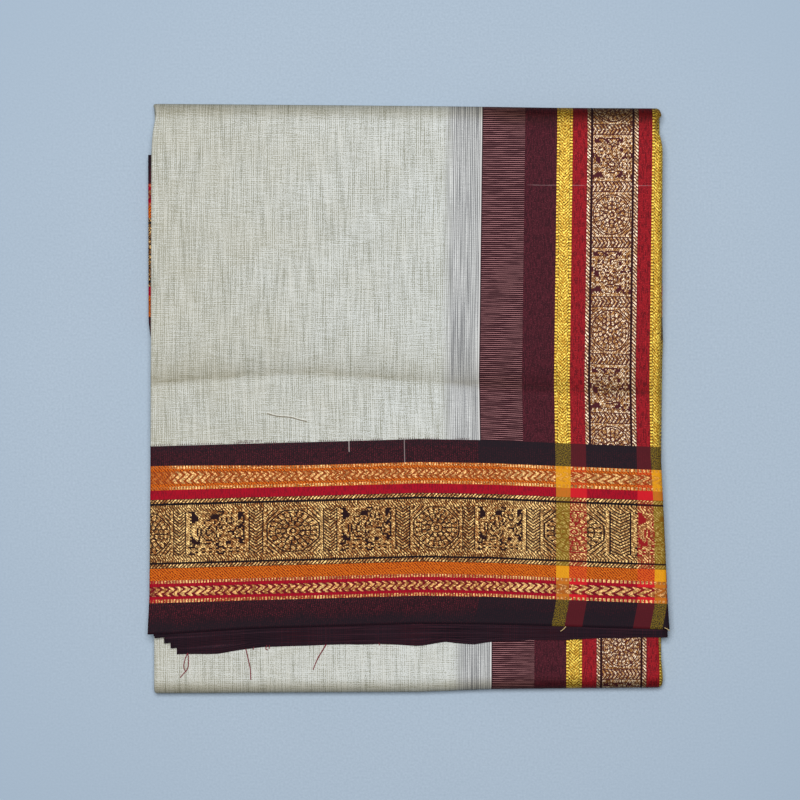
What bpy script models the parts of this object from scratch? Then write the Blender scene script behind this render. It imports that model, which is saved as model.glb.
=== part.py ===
"""A silk and cotton saree, folded for the shelf and lying flat.

The cloth is halved four times along its length, so that sixteen layers lie on each other, and
the stack is then folded in three across its width, like a letter: a floor panel, a turned panel
that comes forward over it from the front fold, and a top panel that comes over both from the back
fold. The outermost layer is one sheet all the way round: top panel, back fold, floor panel, front
fold and turned panel. Each stretch of it is a piece of its own here, a thin wall that curls round
the stack at both sides. The fifteen layers inside it are one rounded solid that follows the same
letter fold, and the selvedges of some of them step out under the top panel's front edge.

X runs along the cloth's length, Y across its width towards the back fold, and Z up. The origin is
on the floor, under the middle of the bundle.
"""

import math
from collections import namedtuple

import bmesh
import bpy
import numpy as np
from mathutils import Vector

MM = 0.001

# Thicknesses, in millimetres like every size below
WALL = 1.0
GAP = 0.3
STACK = 6.85
LOOSE_STACK = 9.2

# The letter fold, seen from the side
FLAP_FRONT = -166.1
BACK_TIP = 217.2
FRONT_TIP = -216.6
FRONT_RADIUS = STACK + GAP / 2
BACK_RADIUS = 9.5
TURNED_TOP = 2 * FRONT_RADIUS
TOP_HEIGHT = TURNED_TOP + GAP + STACK
INNER_SELVEDGE = 180.9

# The cloth, measured across its width from the selvedge of the top panel
BORDER = 137.0
TOP_RUN = BACK_TIP - BACK_RADIUS - FLAP_FRONT
BACK_ROLL = math.pi * BACK_RADIUS
FLOOR_RUN = (BACK_TIP - BACK_RADIUS) - (FRONT_TIP + FRONT_RADIUS)
FRONT_ROLL = math.pi * FRONT_RADIUS
TURNED_RUN = INNER_SELVEDGE - (FRONT_TIP + FRONT_RADIUS)
BACK_START = TOP_RUN
FLOOR_START = BACK_START + BACK_ROLL
FRONT_START = FLOOR_START + FLOOR_RUN
TURNED_START = FRONT_START + FRONT_ROLL
CLOTH_WIDTH = TURNED_START + TURNED_RUN

# Where the end piece begins along the cloth's length
PALLU_START = 54.5

# How the outer sheet curls round the stack at each side
CURL = math.radians(150)
LEFT_CURL = 1.8
RIGHT_CURL = 3.4

FLAT_INSET = 12.0

# The top panel is a low pillow with one soft crease across it. It droops at its front edge, over
# the stepped selvedges, and falls a little beyond the turned panel's end to the back fold
PILLOW = 0.9
PILLOW_EDGE = 28.0
PILLOW_FRONT_RISE = 60.0
PILLOW_BACK = 300.0
PILLOW_BACK_END = 345.0
CREASE_ACROSS = 184.0
CREASE_REACH = 16.0
FLAP_DROOP = 0.5
LEAF_RUN = 24.0
BACK_FALL = 352.0
LOOSE_RISE = 8.0

# Over what part of the cloth the folds and the border run out of straight
BORDER_DRIFT_END = 340.0
BACK_DRIFT = 250.0
FRONT_DRIFT = 10.0
FRONT_DRIFT_END = 90.0

# Side edges of the stack, by distance across the cloth from the top selvedge
Edge = namedtuple("Edge", "across left right")
EDGES = [
    Edge(across=0, left=-193.1, right=192.4),
    Edge(across=25, left=-191.7, right=190.9),
    Edge(across=60, left=-191.4, right=189.4),
    Edge(across=137, left=-190.9, right=185.7),
    Edge(across=240, left=-190.5, right=186.5),
    Edge(across=345, left=-190.2, right=187.3),
    Edge(across=362, left=-189.2, right=187.2),
    Edge(across=373, left=-187.6, right=184.2),
    Edge(across=386, left=-187.4, right=186.0),
    Edge(across=410, left=-188.6, right=186.0),
    Edge(across=800, left=-188.6, right=187.2),
    Edge(across=845, left=-188.7, right=188.0),
    Edge(across=870, left=-188.7, right=185.4),
    Edge(across=940, left=-189.6, right=186.0),
    Edge(across=1090, left=-190.2, right=187.0),
    Edge(across=1110, left=-192.8, right=187.4),
    Edge(across=1233, left=-193.1, right=187.6),
]

# How far the folds and the border run out of straight, by distance along the cloth
Drift = namedtuple("Drift", "along front back border")
DRIFTS = [
    Drift(along=-195, front=-1.3, back=0.4, border=-5.6),
    Drift(along=-118, front=-0.9, back=0.2, border=-3.4),
    Drift(along=-70, front=-0.6, back=0.0, border=-2.2),
    Drift(along=8, front=-0.2, back=-0.4, border=0.0),
    Drift(along=61, front=1.8, back=-0.8, border=-0.9),
    Drift(along=108, front=2.3, back=-1.1, border=-2.2),
    Drift(along=190, front=3.0, back=-1.6, border=-5.0),
]

# Selvedges of inner layers that step out under the top panel, from the upper to the lowest
Leaf = namedtuple("Leaf", "level left end_left end_middle end_right")
LEAVES = [
    Leaf(level=3, left=-188.0, end_left=-175.2, end_middle=-170.4, end_right=-172.0),
    Leaf(level=2, left=-180.9, end_left=-179.6, end_middle=-173.0, end_right=-173.4),
    Leaf(level=1, left=-176.3, end_left=-182.3, end_middle=-177.0, end_right=-174.8),
    Leaf(level=0, left=-171.8, end_left=-188.3, end_middle=-181.0, end_right=-176.0),
]
LEAF_RIGHT = 188.4
LEAF_MIDDLE = -70.0

Colour = namedtuple("Colour", "name red green blue roughness metallic")
BODY_CLOTH = Colour("woven_cream_body", 0.58, 0.58, 0.51, 0.75, 0.0)
BORDER_CLOTH = Colour("woven_gold_border", 0.20, 0.09, 0.06, 0.55, 0.2)
PALLU_CLOTH = Colour("woven_pallu", 0.22, 0.06, 0.05, 0.55, 0.2)
SELVEDGE_CLOTH = Colour("maroon_selvedge", 0.035, 0.013, 0.02, 0.6, 0.0)
LAYERS_CLOTH = Colour("folded_layers", 0.52, 0.51, 0.44, 0.8, 0.0)


def ease(low, high, value):
    """0 below low, 1 above high, and a soft rise between them."""
    part = min(max((value - low) / (high - low), 0.0), 1.0)
    return part * part * (3 - 2 * part)


def edge_at(across, side):
    places = [row.across for row in EDGES]
    return float(np.interp(across, places, [getattr(row, side) for row in EDGES]))


def drift_at(along, kind):
    places = [row.along for row in DRIFTS]
    return float(np.interp(along, places, [getattr(row, kind) for row in DRIFTS]))


def pillow(across, along):
    """How far the top panel stands above its flat height."""
    from_side = min(along - edge_at(across, "left"), edge_at(across, "right") - along)
    over = ease(0, PILLOW_EDGE, from_side)
    over *= ease(0, PILLOW_FRONT_RISE, across) * (1 - ease(PILLOW_BACK, PILLOW_BACK_END, across))
    crease = 1 - ease(0, CREASE_REACH, abs(across - CREASE_ACROSS))
    return PILLOW * over * (1 - crease)


def sideways(across, along):
    """How far a place is moved in Y because its fold or border is not straight."""
    front = drift_at(along, "front")
    back = drift_at(along, "back")
    if across < BACK_START:
        border = drift_at(along, "border") * (1 - ease(BORDER, BORDER_DRIFT_END, across))
        return border + back * ease(BACK_DRIFT, BACK_START, across)
    if across < FLOOR_START:
        return back
    if across < FRONT_START:
        return back + (front - back) * (across - FLOOR_START) / FLOOR_RUN
    past_fold = across - TURNED_START
    return front * (1 - ease(FRONT_DRIFT, FRONT_DRIFT_END, past_fold))


def lie(across, along, depth):
    """The point at this place of the cloth, so deep under the outermost face of the stack."""
    if across < BACK_START:
        y = FLAP_FRONT + across
        top = TOP_HEIGHT - (TOP_HEIGHT - 2 * BACK_RADIUS) * ease(BACK_FALL, BACK_START, across)
        top -= FLAP_DROOP * (1 - ease(0, LEAF_RUN, across))
        swell = pillow(across, along)
        squeeze = min(max((depth - WALL - GAP) / (STACK - WALL - GAP), 0.0), 1.0)
        z = top + swell * (1 - squeeze) - depth
    elif across < FLOOR_START:
        turn = (across - BACK_START) / BACK_RADIUS
        y = BACK_TIP - BACK_RADIUS + (BACK_RADIUS - depth) * math.sin(turn)
        z = BACK_RADIUS + (BACK_RADIUS - depth) * math.cos(turn)
    elif across < FRONT_START:
        y = BACK_TIP - BACK_RADIUS - (across - FLOOR_START)
        z = depth
    elif across < TURNED_START:
        turn = (across - FRONT_START) / FRONT_RADIUS
        y = FRONT_TIP + FRONT_RADIUS - (FRONT_RADIUS - depth) * math.sin(turn)
        z = FRONT_RADIUS - (FRONT_RADIUS - depth) * math.cos(turn)
    else:
        y = FRONT_TIP + FRONT_RADIUS + (across - TURNED_START)
        z = TURNED_TOP - depth
    return (along * MM, (y + sideways(across, along)) * MM, z * MM)


# A column of a section lies a distance in from one side edge, or at a fixed place along the cloth
Column = namedtuple("Column", "side inset depth")


def column_x(column, across):
    if column.side == "fixed":
        return column.inset
    if column.side == "left":
        return edge_at(across, "left") + column.inset
    return edge_at(across, "right") - column.inset


def curl_columns(side, radius, steps):
    """The columns of one curled side, from its free end up to the flat."""
    columns = []
    for step in range(steps + 1):
        turn = CURL * (1 - step / steps)
        inset = radius * (1 - math.sin(turn))
        depth = radius * (1 - math.cos(turn))
        columns.append(Column(side, inset, depth))
    return columns


FLAT_PLACES = [-160, -118, -70, -20, 28]
PALLU_PLACES = [90, 130, 165]
PALLU_EDGE_PLACE = PALLU_START + 3


def fixed_columns(places, depth=0.0):
    return [Column("fixed", place, depth) for place in places]


def left_side():
    return curl_columns("left", LEFT_CURL, 4) + [Column("left", FLAT_INSET, 0.0)]


def right_side():
    return [Column("right", FLAT_INSET, 0.0)] + curl_columns("right", RIGHT_CURL, 6)[::-1]


def full_width():
    flat = fixed_columns(FLAT_PLACES + [PALLU_EDGE_PLACE] + PALLU_PLACES)
    return left_side() + flat + right_side()


def material_for(colour):
    material = bpy.data.materials.get(colour.name)
    if material is None:
        material = bpy.data.materials.new(colour.name)
        material.use_nodes = True
        shader = material.node_tree.nodes["Principled BSDF"]
        shader.inputs["Base Color"].default_value = (colour.red, colour.green, colour.blue, 1)
        shader.inputs["Roughness"].default_value = colour.roughness
        shader.inputs["Metallic"].default_value = colour.metallic
        material.diffuse_color = (colour.red, colour.green, colour.blue, 1)
    return material


def finish_object(name, bm, colour, collection):
    mesh = bpy.data.meshes.new(name)
    bm.to_mesh(mesh)
    bm.free()
    mesh.shade_smooth()
    mesh.set_sharp_from_angle(angle=math.radians(40))
    piece = bpy.data.objects.new(name, mesh)
    piece.data.materials.append(material_for(colour))
    collection.objects.link(piece)
    return piece


def place_grid(columns, stations, point):
    """A grid with a vertex for each column and station, each moved to its point."""
    bm = bmesh.new()
    across_steps = len(stations) - 1
    along_steps = len(columns) - 1
    bmesh.ops.create_grid(bm, x_segments=along_steps, y_segments=across_steps, size=0.5)
    for vertex in bm.verts:
        column = columns[round((vertex.co.x + 0.5) * along_steps)]
        station = stations[round((vertex.co.y + 0.5) * across_steps)]
        vertex.co = point(column, station)
    return bm


def stack_point(column, station):
    return lie(station, column_x(column, station), column.depth)


def face_outwards(bm, inside):
    """Turns the grid over if its faces look at the inside point."""
    bm.normal_update()
    outward = 0.0
    for face in bm.faces:
        outward += face.calc_area() * (face.calc_center_median() - inside).dot(face.normal)
    if outward < 0:
        bmesh.ops.reverse_faces(bm, faces=bm.faces)


def add_wall(piece):
    wall = piece.modifiers.new("Wall", "SOLIDIFY")
    wall.thickness = WALL * MM
    wall.offset = -1
    wall.use_even_offset = True


def outer_sheet(name, stations, columns, colour, collection):
    """One stretch of the outermost layer: an open surface with a wall inside it."""
    bm = place_grid(columns, stations, stack_point)
    middle_across = stations[len(stations) // 2]
    middle_column = columns[len(columns) // 2]
    inside = lie(middle_across, column_x(middle_column, middle_across), FRONT_RADIUS - GAP)
    face_outwards(bm, Vector(inside))
    piece = finish_object(name, bm, colour, collection)
    add_wall(piece)
    return piece


def spaced(start, end, steps):
    return [start + (end - start) * step / steps for step in range(steps + 1)]


def layer_section():
    """The closed section of the inner layers: two thin lips at the left, one round at the right."""
    top = WALL + GAP
    right_round = []
    for step in range(6):
        turn = CURL * step / 5
        inset = RIGHT_CURL - (RIGHT_CURL - top) * math.sin(turn)
        depth = RIGHT_CURL - (RIGHT_CURL - top) * math.cos(turn)
        right_round.append(Column("right", inset, depth))
    right_round.append(Column("right", RIGHT_CURL, STACK))
    curl_depth = LEFT_CURL * (1 - math.cos(CURL)) + GAP
    lip = (STACK - curl_depth) / 4
    left_lips = []
    for upper in (curl_depth + 2 * lip, curl_depth):
        for turn in (math.pi, math.pi * 0.75, math.pi / 2, math.pi * 0.25, 0):
            inset = lip - lip * math.sin(turn)
            left_lips.append(Column("left", inset, upper + lip - lip * math.cos(turn)))
    tongue = LEFT_CURL - top
    left_lips.append(Column("left", LEFT_CURL + 2 * tongue, curl_depth - GAP))
    left_lips.append(Column("left", LEFT_CURL + tongue, LEFT_CURL + tongue))
    left_lips.append(Column("left", LEFT_CURL - tongue, LEFT_CURL))
    left_lips.append(Column("left", LEFT_CURL, top))
    places = FLAT_PLACES + [PALLU_EDGE_PLACE] + PALLU_PLACES
    under = fixed_columns(places[::-1], STACK)
    over = fixed_columns(places, top)
    over = [Column("left", FLAT_INSET, top)] + over + [Column("right", FLAT_INSET, top)]
    under = [Column("right", FLAT_INSET, STACK)] + under + [Column("left", FLAT_INSET, STACK)]
    return right_round + under + left_lips + over


def layer_point(column, station):
    """Like stack_point, but the layers are looser in the back fold, where they fill its loop."""
    depth = column.depth
    if depth >= STACK:
        y = lie(station, 0, 0)[1] / MM
        behind = station < FRONT_START and y > INNER_SELVEDGE
        if behind:
            depth += (LOOSE_STACK - STACK) * ease(0, LOOSE_RISE, y - INNER_SELVEDGE)
    return lie(station, column_x(column, station), depth)


def inner_layers(runs, collection):
    """The fifteen layers inside the outer sheet, as one slab that follows the letter fold."""
    loose_end = FLOOR_START + BACK_TIP - BACK_RADIUS - INNER_SELVEDGE
    stations = [place for run in runs for place in run if LEAF_RUN <= place < CLOTH_WIDTH]
    stations = sorted(stations + [loose_end - LOOSE_RISE, loose_end, CLOTH_WIDTH - WALL])
    section = layer_section()
    bm = place_grid(section + section[:1], stations, layer_point)
    bmesh.ops.remove_doubles(bm, verts=bm.verts, dist=0.001 * MM)
    bmesh.ops.holes_fill(bm, edges=[edge for edge in bm.edges if edge.is_boundary], sides=0)
    bmesh.ops.triangulate(bm, faces=[face for face in bm.faces if len(face.verts) > 4])
    bmesh.ops.recalc_face_normals(bm, faces=bm.faces)
    return finish_object("hidden_layers", bm, LAYERS_CLOTH, collection)


def leaf_end(leaf, along):
    places = [leaf.left, LEAF_MIDDLE, LEAF_RIGHT]
    return float(np.interp(along, places, [leaf.end_left, leaf.end_middle, leaf.end_right]))


def selvedge_leaf(number, leaf, collection):
    """A step of selvedge under the top panel, from the inner layers' end out to its own edge."""
    places = spaced(leaf.left, LEAF_MIDDLE, 4) + spaced(LEAF_MIDDLE + 43, LEAF_RIGHT, 5)
    top = TURNED_TOP + GAP + WALL + leaf.level * (WALL + GAP)

    def leaf_point(column, station):
        root = FLAP_FRONT + LEAF_RUN - 2 * GAP + sideways(LEAF_RUN, column.inset)
        y = root + (leaf_end(leaf, column.inset) - root) * station
        return (column.inset * MM, y * MM, top * MM)

    bm = place_grid(fixed_columns(places), [0, 0.5, 1], leaf_point)
    face_outwards(bm, Vector((0, FLAP_FRONT * MM, 0)))
    piece = finish_object(f"selvedge_leaf_{number}", bm, SELVEDGE_CLOTH, collection)
    add_wall(piece)
    return piece


def clear_scene():
    for thing in list(bpy.data.objects):
        bpy.data.objects.remove(thing)


def build():
    clear_scene()
    collection = bpy.data.collections.new("folded_saree")
    bpy.context.scene.collection.children.link(collection)
    half = GAP / 2

    crease = [160, 172, CREASE_ACROSS, 196, 212]
    border = spaced(0, LEAF_RUN, 2) + spaced(52, BORDER - half, 3)
    field = [BORDER + half] + crease + [260, 310, 348, 354, 361, BACK_START - half]
    back = spaced(BACK_START + half, FLOOR_START - half, 10)
    floor = spaced(FLOOR_START + half, FRONT_START - half, 5)
    front = spaced(FRONT_START + half, TURNED_START - half, 10)
    turned = spaced(TURNED_START + half, CLOTH_WIDTH - BORDER - half, 5)
    end = spaced(CLOTH_WIDTH - BORDER + half, CLOTH_WIDTH, 4)

    body_columns = left_side() + fixed_columns(FLAT_PLACES + [PALLU_START - half])
    pallu_columns = fixed_columns([PALLU_START + half] + PALLU_PLACES) + right_side()
    outer_sheet("top_border", border, full_width(), BORDER_CLOTH, collection)
    outer_sheet("top_body", field, body_columns, BODY_CLOTH, collection)
    outer_sheet("top_pallu", field, pallu_columns, PALLU_CLOTH, collection)
    outer_sheet("back_fold", back, full_width(), BODY_CLOTH, collection)
    outer_sheet("floor_panel", floor, full_width(), BODY_CLOTH, collection)
    outer_sheet("front_fold", front, full_width(), BODY_CLOTH, collection)
    outer_sheet("turned_body", turned, full_width(), BODY_CLOTH, collection)
    outer_sheet("turned_border", end, full_width(), BORDER_CLOTH, collection)

    inner_layers([border, field, back, floor, front, turned, end], collection)
    for number, leaf in enumerate(LEAVES, start=1):
        selvedge_leaf(number, leaf, collection)


build()
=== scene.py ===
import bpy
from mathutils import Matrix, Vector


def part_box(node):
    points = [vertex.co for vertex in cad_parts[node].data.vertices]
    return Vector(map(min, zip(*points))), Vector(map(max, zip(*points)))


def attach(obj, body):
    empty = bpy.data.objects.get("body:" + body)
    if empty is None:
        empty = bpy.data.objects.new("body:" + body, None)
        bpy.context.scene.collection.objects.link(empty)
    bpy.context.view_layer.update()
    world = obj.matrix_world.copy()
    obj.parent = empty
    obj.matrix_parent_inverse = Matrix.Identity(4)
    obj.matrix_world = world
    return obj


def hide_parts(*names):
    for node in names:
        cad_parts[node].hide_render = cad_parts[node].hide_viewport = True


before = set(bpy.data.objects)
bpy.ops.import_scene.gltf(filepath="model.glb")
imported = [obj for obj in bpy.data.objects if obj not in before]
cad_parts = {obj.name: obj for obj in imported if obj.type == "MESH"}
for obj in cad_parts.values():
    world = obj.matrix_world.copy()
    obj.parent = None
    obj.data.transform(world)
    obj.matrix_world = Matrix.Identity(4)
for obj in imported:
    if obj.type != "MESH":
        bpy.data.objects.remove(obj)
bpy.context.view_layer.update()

import ast
import math
from collections import namedtuple

import bmesh
import bpy
import numpy as np
from mathutils import Vector

# The photographer's table: a pale blue-grey cloth backdrop, lit from above by one large soft box
# and by the room, with the camera looking straight down.
MM = 0.001


def linear(code):
    """An sRGB hex colour as linear red, green, blue and full alpha."""
    parts = [int(code[start:start + 2], 16) / 255 for start in (1, 3, 5)]
    light = [part / 12.92 if part <= 0.04045 else ((part + 0.055) / 1.055) ** 2.4 for part in parts]
    return (*light, 1.0)


def add(kind, inputs=(), **settings):
    """Adds a node to the tree at work, with its settings, and links or sets its inputs."""
    node = tree.nodes.new(kind)
    for name, value in settings.items():
        setattr(node, name, value)
    for place, value in dict(inputs).items():
        socket = node.inputs[place]
        if isinstance(value, bpy.types.NodeSocket):
            tree.links.new(value, socket)
        else:
            socket.default_value = linear(value) if isinstance(value, str) else value
    return node


def start_material(name):
    material = bpy.data.materials.new(name)
    material.use_nodes = True
    material.node_tree.nodes.clear()
    return material, material.node_tree


def new_object(name, mesh):
    piece = bpy.data.objects.new(name, mesh)
    bpy.context.scene.collection.objects.link(piece)
    return piece


CAMERA_X = -6.7
CAMERA_Y = -0.4
CAMERA_HEIGHT = 2479.0
LENS = 150.0
BACKDROP_SIZE = 6000.0
SOFT_BOX_PLACE = (-150.0, 560.0, 3300.0)
SOFT_BOX_SIZE = 1500.0
SOFT_BOX_POWER = 112.0
ROOM_LIGHT = 0.15

# Woven backdrop, matt cotton: blue-grey, with a faint mottle about 110 mm wide and a grain of 1.6
# mm, which is drawn twice as coarse as its threads so that it shows
backdrop_cloth, tree = start_material("Matt cotton backdrop, plain woven")
place = add("ShaderNodeTexCoord").outputs["Object"]
mottle = add("ShaderNodeTexNoise", {"Vector": place, "Scale": 9.0, "Detail": 3.0}).outputs[0]
grain = add("ShaderNodeTexNoise", {"Vector": place, "Scale": 620.0, "Detail": 2.0}).outputs[0]
mottled = add("ShaderNodeMix", {0: mottle, 6: "#B1C1D1", 7: "#B7C7D7"}, data_type="RGBA").outputs[2]
grained = add("ShaderNodeMix", {0: grain, 6: "#9DADBD", 7: mottled}, data_type="RGBA").outputs[2]
# Painted shade: the backdrop grows darker towards its corners, from 0.27 to 0.42 m out from the
# middle
away = add("ShaderNodeVectorMath", {0: place}, operation="LENGTH").outputs["Value"]
corner = add("ShaderNodeMapRange", {0: away, 1: 0.27, 2: 0.42, 4: 0.85}).outputs[0]
grained = add("ShaderNodeMix", {0: corner, 6: grained, 7: "#A3B5C7"}, data_type="RGBA").outputs[2]
rough = add("ShaderNodeBump", {"Height": grain, "Strength": 0.15, "Distance": MM}).outputs[0]
matt = add("ShaderNodeBsdfPrincipled", {"Base Color": grained, "Roughness": 0.95, "Normal": rough,
                                        "Specular IOR Level": 0.1})
add("ShaderNodeOutputMaterial", {"Surface": matt.outputs[0]})

bm = bmesh.new()
bmesh.ops.create_grid(bm, x_segments=8, y_segments=8, size=BACKDROP_SIZE / 2 * MM)
mesh = bpy.data.meshes.new("backdrop")
bm.to_mesh(mesh)
bm.free()
mesh.materials.append(backdrop_cloth)
backdrop = new_object("backdrop", mesh)

camera = new_object("overhead_camera", bpy.data.cameras.new("overhead_camera"))
camera.data.lens = LENS
camera.location = (CAMERA_X * MM, CAMERA_Y * MM, CAMERA_HEIGHT * MM)
bpy.context.scene.camera = camera

soft_box = new_object("soft_box", bpy.data.lights.new("soft_box", "AREA"))
soft_box.data.size = SOFT_BOX_SIZE * MM
soft_box.data.energy = SOFT_BOX_POWER
soft_box.location = Vector(SOFT_BOX_PLACE) * MM
soft_box.rotation_euler = (-Vector(SOFT_BOX_PLACE)).to_track_quat("-Z", "Y").to_euler()

room = bpy.data.worlds.new("soft_room")
room.use_nodes = True
room.node_tree.nodes["Background"].inputs["Color"].default_value = linear("#F4F6FA")
room.node_tree.nodes["Background"].inputs["Strength"].default_value = ROOM_LIGHT
bpy.context.scene.world = room
bpy.context.scene.view_settings.view_transform = "Standard"

# The saree's cloth. It is woven in one length: a body of silk and slubbed cotton, a border along
# each selvedge and an end piece, the pallu, across the end. The ornament is zari, a flattened
# gilt wire wound on silk, put in with an extra weft.
OPERATIONS = {
    ast.Add: "ADD", ast.Sub: "SUBTRACT", ast.Mult: "MULTIPLY", ast.Div: "DIVIDE",
    ast.Lt: "LESS_THAN", ast.Gt: "GREATER_THAN", ast.Pow: "POWER",
}
CALLS = {
    "floor": "FLOOR", "fract": "FRACT", "abs": "ABSOLUTE", "min": "MINIMUM", "max": "MAXIMUM",
    "sin": "SINE", "sqrt": "SQRT", "atan2": "ARCTAN2",
}


def formula(text, **known):
    """Lays out a formula over the known sockets and numbers as nodes, and returns its result."""

    def lay(part):
        if isinstance(part, ast.Constant):
            return float(part.value)
        if isinstance(part, ast.Name):
            return known[part.id]
        if isinstance(part, ast.BinOp):
            operation, given = OPERATIONS[type(part.op)], [part.left, part.right]
        elif isinstance(part, ast.Compare):
            operation, given = OPERATIONS[type(part.ops[0])], [part.left, *part.comparators]
        else:
            operation, given = CALLS[part.func.id], part.args
        values = [lay(each) for each in given]
        return add("ShaderNodeMath", enumerate(values), operation=operation).outputs[0]

    return lay(ast.parse(text).body[0].value)


def within(place, *bands):
    """1 where a place lies in one of the bands, each given by its two edges."""
    inside = 0.0
    for low, high in bands:
        inside = formula("max(i, (x > low) * (x < high))", i=inside, x=place, low=low, high=high)
    return inside


def dyed(ground, *layers, **known):
    """The ground colour with others over it, each by a mask or by the formula of its mask."""
    for mask, colour in layers:
        if isinstance(mask, str):
            mask = formula(mask, **known)
        mix = add("ShaderNodeMix", {0: mask, 6: ground, 7: colour}, data_type="RGBA")
        ground = mix.outputs[2]
    return ground


def cell(u, v, size_u, size_v, seed):
    """The place of a cell of the weave, as a vector for a texture."""
    return add("ShaderNodeCombineXYZ", {
        0: formula("u / size", u=u, size=size_u), 1: formula("v / size", v=v, size=size_v), 2: seed,
    }).outputs[0]


def streaks(u, v, seed, size_u, size_v):
    """Uneven threads: soft noise, as wide and as long as the two sizes in millimetres."""
    place = cell(u, v, size_u, size_v, seed)
    return add("ShaderNodeTexNoise", {"Vector": place, "Scale": 1.0, "Detail": 1.0}).outputs[0]


# Painted shade: what a crease or a fold multiplies the colour of the cloth by
PAINTED_SHADE_TINT = "#A99F82"


def cloth_place():
    """U along the cloth from the middle of the bundle, and V across it from the selvedge, in
    millimetres. The cloth's own map holds them in metres."""
    parts = add("ShaderNodeSeparateXYZ", {0: add("ShaderNodeUVMap", uv_map="cloth").outputs[0]})
    return (formula("x * 1000", x=parts.outputs[0]), formula("y * 1000", y=parts.outputs[1]))


def plain_weave(u, v):
    """The over and under of the threads, three times coarser than they are, so that it shows."""
    return formula("sin(u * 8.4) * sin(v * 8.4)", u=u, v=v)


def finish_cloth(colour, relief, finish):
    """The skin of a cloth, a little greyer with painted shade where it is creased or folded over.
    """
    painted_shade = add("ShaderNodeAttribute", attribute_name="painted_shade").outputs["Fac"]
    colour = add("ShaderNodeMix", {0: painted_shade, 6: colour, 7: PAINTED_SHADE_TINT}, data_type="RGBA",
                 blend_type="MULTIPLY").outputs[2]
    bump = add("ShaderNodeBump", {"Height": relief, "Strength": 1.0, "Distance": MM})
    skin = add("ShaderNodeBsdfPrincipled", {"Base Color": colour, "Normal": bump.outputs[0],
                                            "Sheen Roughness": 0.4, **finish})
    add("ShaderNodeOutputMaterial", {"Surface": skin.outputs[0]})


# Body cloth: silk warp and slubbed cotton weft, plain woven and undyed. Its threads are a quarter
# of a millimetre apart, too fine to show, so THREAD draws them nearly four times as coarse. Seen
# close, thick and thin threads cross in a fine uneven net, the weft in the longer streaks.
CREAM = "#D9DDDB"
CREAM_SHADE = "#949485"
CREAM_WARM = "#C2BBA2"
GREY_LIGHT = "#DADBDA"
GREY_DARK = "#5C5C62"
GREY_SLUB = "#8E9092"
PALE_EDGE = "#D8D8D6"
INTERLOCK_SHADE = "#4A2E30"
DRAWN_SHADE = "#6E6450"
DRAWN_LIGHT = "#F0EEE4"
THREAD = 0.95
# Places along the cloth from the middle of the bundle, and across it from the selvedge
LEFT_SHADE = -70.0
GREY_START = 28.9
BODY_END = 53.4
TURNED_PANEL = 800.0
INTERLOCK = 137.7
LOOPS = (-125.0, -107.0)
DRAWN_THREAD = (-103.0, -74.0)
DRAWN_ACROSS = 158.4


def body_ground(u, v):
    """Cream cloth that turns to fine grey ribs before the pallu, and how thick its threads are."""
    warp = streaks(formula("u + v * 4.3", u=u, v=v), v, 3.0, 13.0, THREAD)
    weft = streaks(u, formula("v + u * 6.7", u=u, v=v), 8.0, THREAD, 34.0)
    fine = streaks(u, v, 12.0, 0.8, 0.8)
    broad = streaks(u, v, 21.0, 38.0, 30.0)
    patch = streaks(u, v, 26.0, 5.0, 14.0)
    net = formula("sin(u * 4.3 + a * 3) * min(max((p - 0.3) * 3, 0.3), 1)"
                  " + sin(v * 4.5 + b * 3) * min(max((0.66 - p) * 3, 0.3), 1)",
                  u=u, v=v, a=warp, b=weft, p=patch)
    slubs = formula("(a - 0.5) * 0.36 + (b - 0.5) * 0.66 + (f - 0.5) * 0.8 + n * 0.12",
                    a=warp, b=weft, f=fine, n=net)
    # Besides the slubs' own tone, this mix holds painted shade that deepens to the left and painted
    # light that lifts the turned panel out of the top panel's shadow
    shade = formula("min(max(0.42 - s * 2.9 + (b - 0.5) * 0.12 - u / 2500 + max(left - u, 0) / 1100"
                    " - (v > turned) * 0.12, 0), 1)",
                    s=slubs, b=broad, u=u, v=v, left=LEFT_SHADE, turned=TURNED_PANEL)
    warm = formula("min(max(0.04 - u / 900 + (b - 0.5) * 0.3 + (w - 0.5) * 0.7, 0), 0.5)", u=u,
                   b=broad, w=weft)
    cream = dyed(CREAM, (shade, CREAM_SHADE), (warm, CREAM_WARM))
    ribs = streaks(u, v, 31.0, 0.9, 60.0)
    rib = formula("min(max(0.48 + 0.42 * sin(u * 4.6 + f * 2) + (r - 0.5) * 3"
                  " + (f - 0.5) * 1.2, 0), 1)", u=u, f=fine, r=ribs)
    grey = dyed(GREY_LIGHT, (rib, GREY_DARK), ("(s < 0) * 0.35", GREY_SLUB), s=slubs)
    return dyed(cream, ("min(max((u - start) / 9 + 0.5, 0), 1) * 0.85", grey),
                ("e * 0.8", PALE_EDGE), u=u, start=GREY_START,
                e=within(u, (BODY_END - 1, BODY_END))), slubs


body_cloth, tree = start_material("Slubbed silk cotton, plain woven")
u, v = cloth_place()
ground, slubs = body_ground(u, v)
interlock = formula("(abs(v - line) < 0.55) * (fract(u / 1.6) < 0.5) * (n > 0.47)", u=u, v=v,
                    line=INTERLOCK, n=streaks(u, v, 44.0, 9.0, 9.0))
loops = formula("(abs(abs(v - line - 0.9) - 0.5) < 0.3) * (fract(u / 4.2) > 0.25) * i", u=u, v=v,
                line=INTERLOCK, i=within(u, LOOPS))
drawn = formula("v - across + (u - start) * 0.2 + sin(u * 0.31) * 0.4", u=u, v=v,
                across=DRAWN_ACROSS, start=DRAWN_THREAD[0])
ground = dyed(ground, ("max(i, l) * 0.75", INTERLOCK_SHADE),
              ("(abs(d) < 0.42) * t * 0.85", DRAWN_SHADE),
              ("(abs(d - 0.9) < 0.4) * t * 0.4", DRAWN_LIGHT), i=interlock, l=loops, d=drawn,
              t=within(u, DRAWN_THREAD))
relief = formula("w * 0.01 + s * 0.12", w=plain_weave(u, v), s=slubs)
finish_cloth(ground, relief, {"Roughness": 0.78, "Specular IOR Level": 0.08})

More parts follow.
